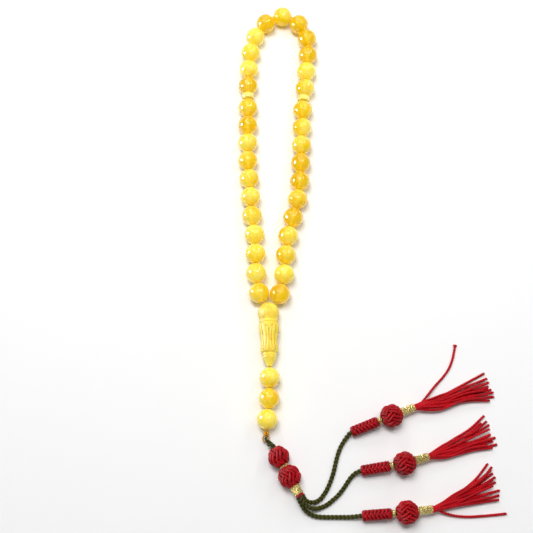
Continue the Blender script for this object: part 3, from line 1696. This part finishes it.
@dataclass
class Link:
    """The doubled green rope with two knotted balls, their gold bands and the red whipping.

    Attributes:
        heading: Which way the link runs.
        first_ball: The first ball's centre.
        step: Distance between the two balls.
        ring_from: Where the ring starts, past the first ball's centre; so for the wrap and whipping.
        end: Where the link ends.
        rope_r: Distance from the link's axis to each leg of the rope.
        rope_turn: Length in which the legs go once round each other.
        bow_r: Radius of the rope's bow through the gold eye.
    """

    heading: float = 299
    first_ball: tuple = (4.7, -70.6, 5.4)
    step: float = 10.2
    first_d: float = 10.0
    second_d: float = 10.6
    ring_d: float = 4.2
    ring_from: float = 4.35
    ring_l: float = 1.3
    wrap_d: float = 4.7
    wrap_from: float = 14.75
    wrap_l: float = 4.4
    whipping_d: float = 4.0
    whipping_thread: float = 0.28
    whipping_from: float = 19.2
    end: float = 20.4
    rope_r: float = 0.75
    rope_turn: float = 5.4
    bow_r: float = 1.3
    cord: Lay = Lay(2, 0.43, 0.35, 2.6, 0.28, 8)

    def on_axis(self, s: float) -> Vector:
        """A point on the link's axis, s millimetres past the first ball's centre."""
        return at(*self.first_ball) + heading(self.heading) * s * MM

    def build(self, trees: Trees) -> None:
        """Makes and dresses all of it.

        Args:
            trees: The geometry trees.
        """
        self.rope(trees)
        axis = heading(self.heading)
        knots = (("link_ball_1", 0.0, self.first_d, 4), ("link_ball_2", self.step, self.second_d, 5))
        for k, (node, s, d, leads) in enumerate(knots):
            stand = standing(self.on_axis(s), axis)
            piece = BallCord().knot(trees, f"red_knotted_ball_{k + 1}", stand, d, leads)
            settle(piece, "link", "red_cord", node)
        ring = wound(trees, "link_gold_ring", self.on_axis(self.ring_from), axis, self.ring_d, self.ring_l, 1)
        settle(ring, "link", "gold_wrap")
        wrap = wound(trees, "link_gold_wrap", self.on_axis(self.wrap_from), axis, self.wrap_d, self.wrap_l, 2)
        settle(wrap, "link", "gold_wrap", "link_bands")
        thread = self.whipping_thread
        whip = trees.rings.grow(
            "link_red_whipping", [], BRAID.material(), Rings=3, Pitch=0.4 * MM,
            Radius=(self.whipping_d / 2 - thread) * MM, Thread=thread * MM, Askew=0.05,
            Place=self.on_axis(self.whipping_from), Turn=standing(Vector(), axis).to_euler(), Seed=3,
        )
        settle(whip, "link", "red_cord", "link_whipping")

    def rope(self, trees: Trees) -> None:
        """The doubled rope: up from the balls, round through the gold eye and back.

        Args:
            trees: The geometry trees.
        """
        pivot, _ = joint_place("link_swing")
        away = heading(300, 25)
        over = away.cross(UP).normalized().cross(away)
        eye_middle = pivot + away * self.bow_r * MM
        stations = [self.on_axis(s) for s in (-4.7, 0, self.step, self.end)]
        stem = smooth_line([eye_middle + away * 0.8 * MM, *stations], 0.3 * MM)
        legs = ([], [])
        travelled = 0.0
        for k, p in enumerate(stem):
            before, after = stem[max(k - 1, 0)], stem[min(k + 1, len(stem) - 1)]
            ahead = (after - before).normalized()
            travelled += (p - before).length
            side = ahead.cross(UP).normalized()
            up = side.cross(ahead)
            turn = FULL_TURN * travelled / (self.rope_turn * MM) + math.pi / 2
            out = (side * math.cos(turn) + up * math.sin(turn)) * self.rope_r * MM
            legs[0].append(p + out)
            legs[1].append(p - out)
        bow = [
            eye_middle + (away * math.cos(a) + over * math.sin(a)) * (self.bow_r * MM)
            for a in [math.radians(x) for x in range(65, 296, 15)]
        ]
        line = smooth_line([*reversed(legs[0][::2]), *bow, *legs[1][::2]], 0.3 * MM)
        piece = self.cord.grow(trees, "green_rope_link", [line], OLIVE)
        settle(piece, "link", "green_cord", "rope_link")


def wound(
    trees: Trees, name: str, start: Vector, axis: Vector, diameter: float, length: float, seed: int
) -> bpy.types.Object:
    """A band of wound gold thread with a few turns crossing over it.

    Args:
        trees: The geometry trees.
        name: The piece's name.
        start: Where the band starts.
        axis: Which way it runs.
        diameter: Its diameter in millimetres.
        length: Its length in millimetres.
        seed: Chooses how its turns lie.

    Returns:
        The band as one mesh.
    """
    thread, pitch, end_gap, points = 0.2, 0.36, 0.25, 24
    count = round(length / pitch)
    stand = standing(start, axis)
    under = trees.rings.grow(
        name, [], GOLD.material(), Rings=count, Pitch=length / count * MM, Radius=(diameter / 2 - 0.42) * MM,
        Thread=(thread + 0.03) * MM, Askew=0.06, Place=start, Turn=stand.to_euler(), Seed=seed,
    )
    luck = random.Random(seed)
    lines = []
    for hand in (1, -1):
        for _ in range(4):
            begin = luck.uniform(0, FULL_TURN)
            turns = hand * (length * 0.16 + luck.uniform(-0.1, 0.1))
            r = (diameter / 2 - thread - 0.02 * (hand + 1)) * MM
            line = []
            for n in range(points + 1):
                turn = begin + FULL_TURN * turns * n / points
                along = (end_gap + (length - 2 * end_gap) * n / points) * MM
                line.append(stand @ Vector((r * math.cos(turn), r * math.sin(turn), along)))
            lines.append(line)
    return joined(under, Lay(1, thread).grow(trees, name + " over", lines, GOLD))


def joined(first: bpy.types.Object, second: bpy.types.Object) -> bpy.types.Object:
    """Two meshes of one finish as one piece.

    Args:
        first: The piece that stays.
        second: The piece that goes into it.

    Returns:
        The first piece, with both meshes.
    """
    with bpy.context.temp_override(active_object=first, selected_editable_objects=[first, second]):
        bpy.ops.object.join()
    return first


# ---------------------------------------------------------------- tassels


@dataclass
class Tassel:
    """One tassel: braided sleeve, gold ring, knotted ball, gold wrap and a fringe of strands.

    Attributes:
        number: 1 to 3 from the top.
        sleeve_start: Where the sleeve starts, in millimetres.
        front_heading: Which way the sleeve runs.
        rear_heading: Which way the wrap runs.
        tips: Where the strands end in plan.
        stray: Points that one stray strand passes, or none.
        ball_at: Distance from the sleeve's start to the ball's centre.
        braid_r: Radius of the sleeve's cords.
        braid_lay: Length in which they go once round.
        braid_rise: How far they climb over each other.
        braid_hurry: How far they lean along where they cross.
        strand: How its strands are laid.
        strand_r: Half of a strand's thickness.
        strand_lead: How far each strand runs straight out of the wrap.
        layer_rise: Height of one layer of strands over the one below.
    """

    number: int
    sleeve_start: tuple
    front_heading: float
    rear_heading: float
    tips: tuple
    stray: tuple = ()
    sleeve_d: float = 4.8
    sleeve_l: float = 13.7
    ring_d: float = 3.3
    ball_at: float = 20.6
    ball_d: float = 10.8
    wrap_d: float = 3.95
    wrap_l: float = 6.6
    braid_r: float = 0.64
    braid_lay: float = 3.42
    braid_rise: float = 0.45
    braid_hurry: float = 0.3
    strand: Lay = Lay(2, 0.46, 0.22, 2.6, 0.45, 8)
    strand_r: float = 0.68
    strand_lead: float = 2.2
    layer_rise: float = 1.15

    def __post_init__(self) -> None:
        """Works out the tassel's places from its sizes."""
        self.start = at(*self.sleeve_start)
        self.front = heading(self.front_heading, 7)
        self.rear = heading(self.rear_heading, -8)
        self.ball = self.start + self.front * self.ball_at * MM
        self.fringe = self.ball + self.rear * (self.ball_d / 2 + self.wrap_l) * MM
        self.body = f"tassel_{self.number}"

    def build(self, trees: Trees) -> None:
        """Makes and dresses all of it.

        Args:
            trees: The geometry trees.
        """
        self.sleeve(trees)
        stand = standing(self.ball, (self.front + self.rear).normalized())
        turned_stand = stand @ Matrix.Rotation(0.6 * self.number, 4, "Z")
        knot = BallCord().knot(trees, f"{self.body}_knotted_ball", turned_stand, self.ball_d, 5)
        settle(knot, self.body, "red_cord", f"{self.body}_head")
        ring_from = self.sleeve_l + 0.1
        ring_l = self.ball_at - ring_from - self.ball_d / 2 + 0.25
        ring = wound(
            trees, f"{self.body}_gold_ring", self.start + self.front * ring_from * MM, self.front,
            self.ring_d, ring_l, 10 + self.number,
        )
        settle(ring, self.body, "gold_wrap")
        wrap = wound(
            trees, f"{self.body}_gold_wrap", self.ball + self.rear * (self.ball_d / 2 - 0.3) * MM,
            self.rear, self.wrap_d, self.wrap_l + 0.3, 20 + self.number,
        )
        settle(wrap, self.body, "gold_wrap", f"{self.body}_bands")
        self.strands(trees)

    def sleeve(self, trees: Trees) -> None:
        """The braided sleeve: two cords of each hand, over and under each other.

        Args:
            trees: The geometry trees.
        """
        stand = standing(self.start, self.front)
        cord_r, steps = self.braid_r, 240
        middle_r = self.sleeve_d / 2 - cord_r - 0.05
        lines = []
        for hand in (1, -1):
            for first in (0.0, math.pi):
                line = []
                for k in range(steps + 1):
                    s = cord_r + (self.sleeve_l - 2 * cord_r) * k / steps
                    turn = FULL_TURN * s / self.braid_lay
                    angle = hand * turn + first + (0 if hand > 0 else math.pi / 2)
                    weave = 2 * turn - math.pi / 2
                    r = middle_r + hand * self.braid_rise * math.cos(weave)
                    hurried = s + hand * self.braid_hurry * math.sin(weave)
                    line.append(stand @ at(r * math.cos(angle), r * math.sin(angle), hurried))
                lines.append(line)
        for s in (cord_r, self.sleeve_l - cord_r):
            around = [FULL_TURN * k / 40 for k in range(41)]
            lines.append([stand @ at(middle_r * math.cos(a), middle_r * math.sin(a), s) for a in around])
        lines.append([self.start + self.front * s * MM for s in (4.0, self.ball_at - 4)])
        piece = Lay(1, cord_r, sides=10).grow(trees, f"{self.body}_braided_sleeve", lines, BRAID)
        self.tell_depth(piece)
        settle(piece, self.body, "red_cord")

    def tell_depth(self, piece: bpy.types.Object) -> None:
        """Tells each point of the sleeve how far out it is.

        Args:
            piece: The sleeve.
        """
        outer = self.sleeve_d / 2 * MM
        values = []
        for vertex in piece.data.vertices:
            off = vertex.co - self.start
            values.append((off - self.front * off.dot(self.front)).length / outer)
        piece.data.attributes["outness"].data.foreach_set("value", values)

    def strands(self, trees: Trees) -> None:
        """The fringe: two-ply strands that leave the wrap together and fan out over the table.

        Args:
            trees: The geometry trees.
        """
        luck = random.Random(40 + self.number)
        stand = standing(self.fringe - self.rear * 1.5 * MM, self.rear)
        top, bottom = self.tips[0][1], self.tips[-1][1]
        lines = []
        ends = self.ends(luck)
        for k, (tip, layer) in enumerate(ends):
            share = k / (len(ends) - 1)
            tip_share = (top - tip[1]) / (top - bottom)
            seat_turn = math.radians(200 - 220 * share) if layer else math.radians(-40 - 100 * share)
            seat_r = 1.1 if layer != 1 else 0.75
            seat = stand @ at(seat_r * math.sin(seat_turn), seat_r * math.cos(seat_turn), 0)
            rest = (self.strand_r + 0.05 + self.layer_rise * layer) * MM
            tip_point = Vector((tip[0] * MM, tip[1] * MM, rest))
            reach = (tip_point - seat).length
            lead = seat + self.rear * self.strand_lead * MM
            aim = math.degrees(math.atan2(tip_point.y - self.fringe.y, tip_point.x - self.fringe.x))
            aside = aim - self.rear_heading
            bow = 0.75 + 0.45 * tip_share + luck.uniform(-0.25, 0.25)
            soft = seat + heading(self.rear_heading + aside * bow) * reach * 0.36
            soft.z = max(rest, soft.z * 0.7)
            far = tip_point - heading(self.rear_heading + aside * (1.9 - bow * 0.7)) * reach * 0.28
            far.z = rest + 0.1 * MM
            sway = heading(aim).cross(UP) * luck.uniform(-0.35, 0.35) * MM
            lines.append(smooth_line([seat, lead, soft + sway, far - sway, tip_point], MM))
        if self.stray:
            first = stand @ at(0.2, 1.0 if self.number == 1 else -1.0, 0)
            lead = first + self.rear * self.strand_lead * MM
            lines.append(smooth_line([first, lead, *[at(*p) for p in self.stray]], MM))
        piece = self.strand.grow(trees, f"{self.body}_fringe", lines, STRAND)
        if self.number == 1:
            piece = joined(piece, self.melted_end(trees, lines[-1]))
        settle(piece, self.body, "red_strand", f"{self.body}_strands")

    def melted_end(self, trees: Trees, line: Line) -> bpy.types.Object:
        """The small knob that a strand's melted end leaves.

        Args:
            trees: The geometry trees.
            line: The strand's line.

        Returns:
            The knob.
        """
        end = line[-1]
        ahead = (end - line[-3]).normalized() * MM
        stub = [end - ahead * 0.3, end + ahead * 0.4]
        return Lay(1, 0.95, sides=12).grow(trees, "melted end", [stub], STRAND)

    def ends(self, luck: random.Random) -> list[tuple[tuple[float, float], int]]:
        """Where the strands end, and which layer each lies in.

        Args:
            luck: The source of small differences.

        Returns:
            Each strand's end in plan, and 0 for the table's layer, 1 or 2 for those over it.
        """
        low = [(tip, k % 2) for k, tip in enumerate(self.tips)]
        between = []
        for a, b in zip(self.tips[1:], self.tips[2:]):
            back = luck.uniform(0.5, 5.0)
            between.append((((a[0] + b[0]) / 2 - back, (a[1] + b[1]) / 2), 2 if len(between) % 2 else 1))
        return low + between


def tassels() -> list[Tassel]:
    """The places and fringes of the tassels.

    Returns:
        The three tassels, from the top one down.
    """
    z = 0.8
    return [
        Tassel(
            1, (39.1, -58.9, 2.9), 21, 21,
            ((104.8, -30.3), (105.6, -33.1), (106.7, -34.8), (106, -37), (107.5, -38.3), (108.2, -39.8),
             (108.5, -41.7), (106.1, -43.7)),
            ((75.6, -42.2, 2.4), (80.2, -36.8, 1.2), (84.4, -32.4, z), (87.8, -27.9, z), (90.1, -22.6, z),
             (91.6, -16.6, z)),
        ),
        Tassel(
            2, (43, -76.8, 2.9), 9, 16,
            ((103, -50.9), (103.7, -53.7), (105.1, -55.2), (105, -59.8), (107.5, -61.2), (105.9, -63),
             (108, -64.4), (105.4, -66)),
        ),
        Tassel(
            3, (42.8, -96.9, 2.9), 4, 7,
            ((102.9, -73.3), (104.4, -74.9), (104.8, -77.7), (105.5, -79.6), (105.7, -81.7), (107.1, -85.5),
             (107, -87.7), (106.4, -89.7)),
            ((80, -95.3, 2), (86, -96.8, 1), (92, -97.2, z), (98, -96.9, z), (104, -96.4, z),
             (109.6, -95.8, z)),
        ),
    ]


def main() -> None:
    """Builds the scene, piece by piece."""
    logging.basicConfig(level=logging.INFO, format="%(name)s %(message)s")
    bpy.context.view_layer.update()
    Studio().build()
    trees = Trees(flat_cord(), laid_plies(), wound_rings())
    link, fringe, head, knot = Link(), tassels(), HeadBead(), EndKnot()
    GreenCords().build(link, fringe, trees)
    CountingBeads().build()
    Dividers().build()
    TailBeads().build()
    head.build()
    knot.build(trees)
    Threads().build(trees, head, knot)
    link.build(trees)
    for tassel in fringe:
        tassel.build(trees)


if __name__ == "__main__":
    main()
